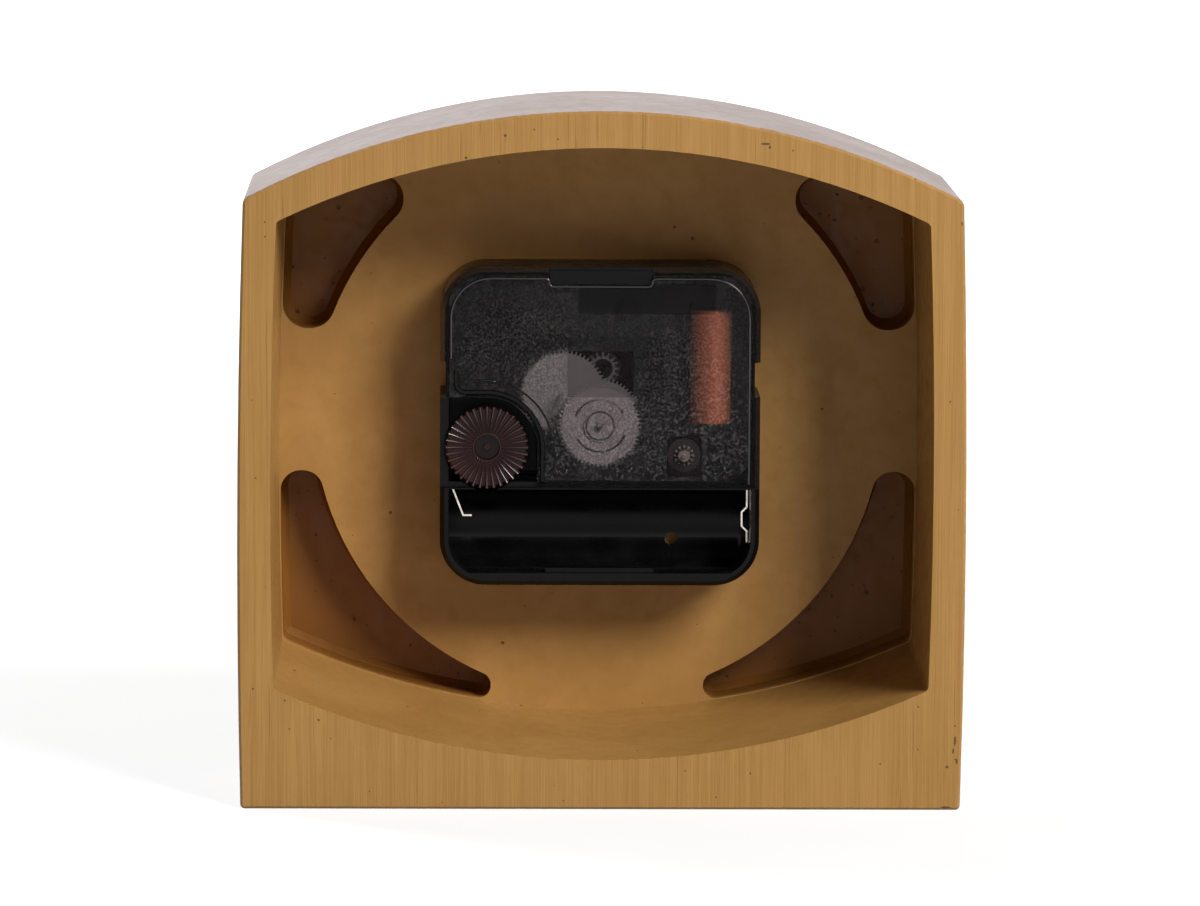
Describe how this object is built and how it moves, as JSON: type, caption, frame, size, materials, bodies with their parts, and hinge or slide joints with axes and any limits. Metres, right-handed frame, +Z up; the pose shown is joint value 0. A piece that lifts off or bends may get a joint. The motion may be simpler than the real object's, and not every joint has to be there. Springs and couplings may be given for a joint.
{
  "type": "shelf clock",
  "caption": "Small shelf clock: cast block case with arched top and hollow back, quartz movement with gear train, setting knob, open battery bay, glazed dial and hands.",
  "frame": {"origin": "under the middle of the case, on the surface it stands on", "axes": "+Z up, dial faces -Y, open back and movement face +Y, +X to the right as seen from the dial side"},
  "size_m": [0.1256, 0.05, 0.1211],
  "materials": {
    "case_resin": "painted cast resin, matt, ochre at the back and pale grey outside",
    "black_moulding": "black moulded plastic",
    "smoky_cover": "smoky see-through plastic, frosted inside",
    "plate_plastic": "black moulded plastic",
    "brass": "satin brass",
    "steel": "bright steel",
    "nickel": "nickel-plated spring strip",
    "rubber": "soft black rubber",
    "board": "brown paper-based circuit board",
    "can": "plain metal can",
    "resin_drop": "black resin drop",
    "bobbin_plastic": "dark plastic",
    "copper": "enamelled copper wire",
    "soft_iron": "dull soft iron",
    "magnet": "dark sintered magnet",
    "pale_acetal": "translucent white acetal",
    "black_acetal": "black acetal",
    "knob_plastic": "dark brown plastic",
    "dial_enamel": "satin off-white paint",
    "lens_glass": "clear flat glass",
    "hand_paint": "satin black paint"
  },
  "bodies": {
    "case": {"case_body": "case_resin", "bezel_ring": "brass", "dial_lens": "lens_glass", "dial_plate": "dial_enamel", "movement_housing": "black_moulding", "movement_cover": "smoky_cover", "middle_plate": "plate_plastic", "threaded_bush": "brass", "rubber_washer": "rubber", "fixing_washer": "brass", "fixing_nut": "brass", "circuit_board": "board", "quartz_crystal": "can", "timing_chip": "resin_drop", "coil_bobbin": "bobbin_plastic", "coil_winding": "copper", "coil_core": "soft_iron", "stator_plate": "soft_iron", "negative_contact": "nickel", "positive_contact": "nickel"},
    "rotor": {"rotor_magnet": "magnet", "rotor_pinion": "pale_acetal"},
    "intermediate": {"intermediate_wheel": "black_acetal"},
    "seconds": {"seconds_wheel": "pale_acetal", "seconds_arbor": "steel", "second_hand": "hand_paint"},
    "third": {"third_wheel": "pale_acetal"},
    "centre": {"centre_wheel": "pale_acetal"},
    "minute": {"minute_cannon": "brass", "minute_hand": "hand_paint"},
    "minute_work": {"minute_work_wheel": "black_acetal"},
    "hour": {"hour_wheel": "black_acetal", "hour_hand": "hand_paint"},
    "idler": {"setting_idler": "black_acetal"},
    "knob": {"setting_knob": "knob_plastic", "setting_arbor": "black_acetal"}
  },
  "joints": [
    {"name": "second_hand_turn", "type": "hinge", "parent": "case", "child": "seconds", "pos_m": [0, 0, 0.0642], "axis": [0, 1, 0], "continuous": true},
    {"name": "rotor_turn", "type": "hinge", "parent": "case", "child": "rotor", "pos_m": [-0.0148, 0, 0.05891], "axis": [0, 1, 0], "continuous": true},
    {"name": "intermediate_wheel_turn", "type": "hinge", "parent": "case", "child": "intermediate", "pos_m": [-0.00796, 0, 0.06211], "axis": [0, 1, 0], "continuous": true},
    {"name": "third_wheel_turn", "type": "hinge", "parent": "case", "child": "third", "pos_m": [0.00642, 0, 0.06951], "axis": [0, 1, 0], "continuous": true},
    {"name": "centre_wheel_turn", "type": "hinge", "parent": "case", "child": "centre", "pos_m": [0, 0, 0.0642], "axis": [0, 1, 0], "continuous": true},
    {"name": "minute_hand_turn", "type": "hinge", "parent": "case", "child": "minute", "pos_m": [0, 0, 0.0642], "axis": [0, 1, 0], "continuous": true},
    {"name": "minute_work_wheel_turn", "type": "hinge", "parent": "case", "child": "minute_work", "pos_m": [-0.0006, 0, 0.0733], "axis": [0, 1, 0], "continuous": true},
    {"name": "hour_hand_turn", "type": "hinge", "parent": "case", "child": "hour", "pos_m": [0, 0, 0.0642], "axis": [0, 1, 0], "continuous": true},
    {"name": "setting_idler_turn", "type": "hinge", "parent": "case", "child": "idler", "pos_m": [0.01111, 0, 0.06428], "axis": [0, 1, 0], "continuous": true},
    {"name": "setting_knob_turn", "type": "hinge", "parent": "case", "child": "knob", "pos_m": [0.01979, 0, 0.0606], "axis": [0, 1, 0], "continuous": true}
  ],
  "couplings": [
    {"joint": "intermediate_wheel_turn", "follows": "second_hand_turn", "ratio": -6},
    {"joint": "rotor_turn", "follows": "second_hand_turn", "ratio": 30},
    {"joint": "third_wheel_turn", "follows": "second_hand_turn", "ratio": -0.13333},
    {"joint": "centre_wheel_turn", "follows": "second_hand_turn", "ratio": 0.016667},
    {"joint": "minute_work_wheel_turn", "follows": "minute_hand_turn", "ratio": -0.20833},
    {"joint": "hour_hand_turn", "follows": "minute_hand_turn", "ratio": 0.083333},
    {"joint": "setting_idler_turn", "follows": "minute_hand_turn", "ratio": 0.21739},
    {"joint": "setting_knob_turn", "follows": "minute_hand_turn", "ratio": -0.71429}
  ]
}
